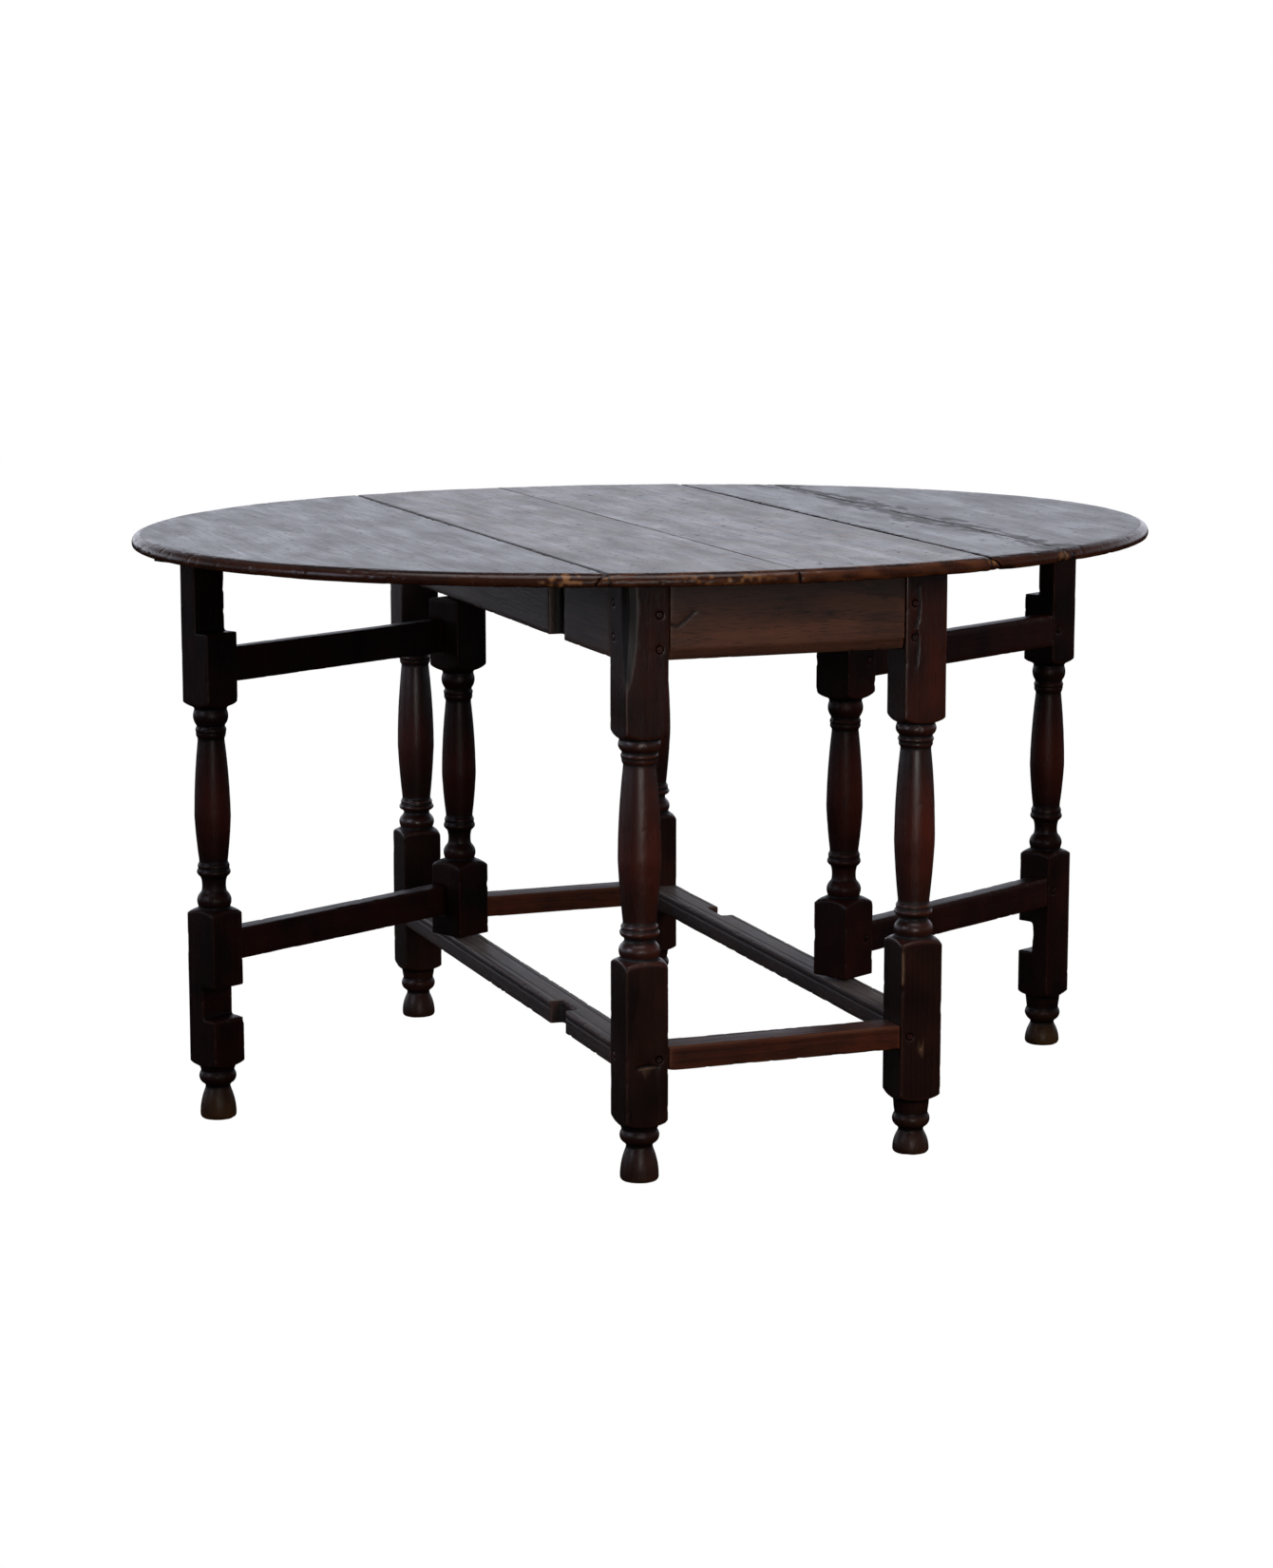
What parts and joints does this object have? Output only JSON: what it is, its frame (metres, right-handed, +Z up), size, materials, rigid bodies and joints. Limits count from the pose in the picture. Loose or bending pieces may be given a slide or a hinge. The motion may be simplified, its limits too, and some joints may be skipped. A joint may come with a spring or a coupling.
{
  "type": "gateleg table",
  "caption": "Oval drop-leaf table in dark oak on turned legs, with swinging gates that hold the leaves up on rule joints.",
  "frame": {"origin": "on the floor, under the middle of the oval top", "axes": "+X across the leaves to the right leaf, +Y along the hinge lines to the back, +Z up"},
  "size_m": [1.316, 1.104, 0.73],
  "materials": {
    "top_oak": "waxed, worn dark oak",
    "apron_oak": "old dark oak, dry",
    "rail_oak": "old dark oak, rubbed",
    "turned_oak": "turned dark oak, waxed",
    "stop": "rough sawn oak",
    "pegs": "riven oak",
    "hinge_iron": "wrought, blackened"
  },
  "bodies": {
    "frame": {"apron_back": "apron_oak", "apron_front": "apron_oak", "apron_left": "apron_oak", "apron_pegs": "pegs", "apron_right": "apron_oak", "centre_board_dowels": "pegs", "centre_board_left": "top_oak", "centre_board_right": "top_oak", "glue_blocks": "pegs", "hinge_left_back_fixed": "hinge_iron", "hinge_left_back_pin": "hinge_iron", "hinge_left_front_fixed": "hinge_iron", "hinge_left_front_pin": "hinge_iron", "hinge_nails_centre": "hinge_iron", "hinge_right_back_fixed": "hinge_iron", "hinge_right_back_pin": "hinge_iron", "hinge_right_front_fixed": "hinge_iron", "hinge_right_front_pin": "hinge_iron", "leg_back_left": "turned_oak", "leg_back_right": "turned_oak", "leg_front_left": "turned_oak", "leg_front_right": "turned_oak", "stretcher_back": "rail_oak", "stretcher_front": "rail_oak", "stretcher_left": "rail_oak", "stretcher_pegs": "pegs", "stretcher_right": "rail_oak"},
    "gate_left": {"gate_left_leg": "turned_oak", "gate_left_lower_pivot": "pegs", "gate_left_lower_rail": "rail_oak", "gate_left_pegs": "pegs", "gate_left_post": "turned_oak", "gate_left_upper_pivot": "pegs", "gate_left_upper_rail": "rail_oak"},
    "gate_right": {"gate_right_leg": "turned_oak", "gate_right_lower_pivot": "pegs", "gate_right_lower_rail": "rail_oak", "gate_right_pegs": "pegs", "gate_right_post": "turned_oak", "gate_right_upper_pivot": "pegs", "gate_right_upper_rail": "rail_oak"},
    "leaf_left": {"hinge_left_back_moving": "hinge_iron", "hinge_left_front_moving": "hinge_iron", "hinge_nails_left_leaf": "hinge_iron", "leaf_left_board": "top_oak", "leaf_left_stop": "stop"},
    "leaf_right": {"hinge_nails_right_leaf": "hinge_iron", "hinge_right_back_moving": "hinge_iron", "hinge_right_front_moving": "hinge_iron", "leaf_right_dowels": "pegs", "leaf_right_inner_board": "top_oak", "leaf_right_outer_board": "top_oak", "leaf_right_stop": "stop"}
  },
  "joints": [
    {"name": "gate_left_swing", "type": "hinge", "parent": "frame", "child": "gate_left", "pos_m": [-0.19, 0.203, 0.4], "axis": [0, 0, 1], "range_deg": [0, 63]},
    {"name": "gate_right_swing", "type": "hinge", "parent": "frame", "child": "gate_right", "pos_m": [0.19, -0.203, 0.4], "axis": [0, 0, 1], "range_deg": [0, 63]},
    {"name": "leaf_left_lift", "type": "hinge", "parent": "frame", "child": "leaf_left", "pos_m": [-0.2385, 0, 0.713], "axis": [0, 1, 0], "range_deg": [0, 3]},
    {"name": "leaf_right_lift", "type": "hinge", "parent": "frame", "child": "leaf_right", "pos_m": [0.2385, 0, 0.713], "axis": [0, -1, 0], "range_deg": [0, 3]}
  ]
}
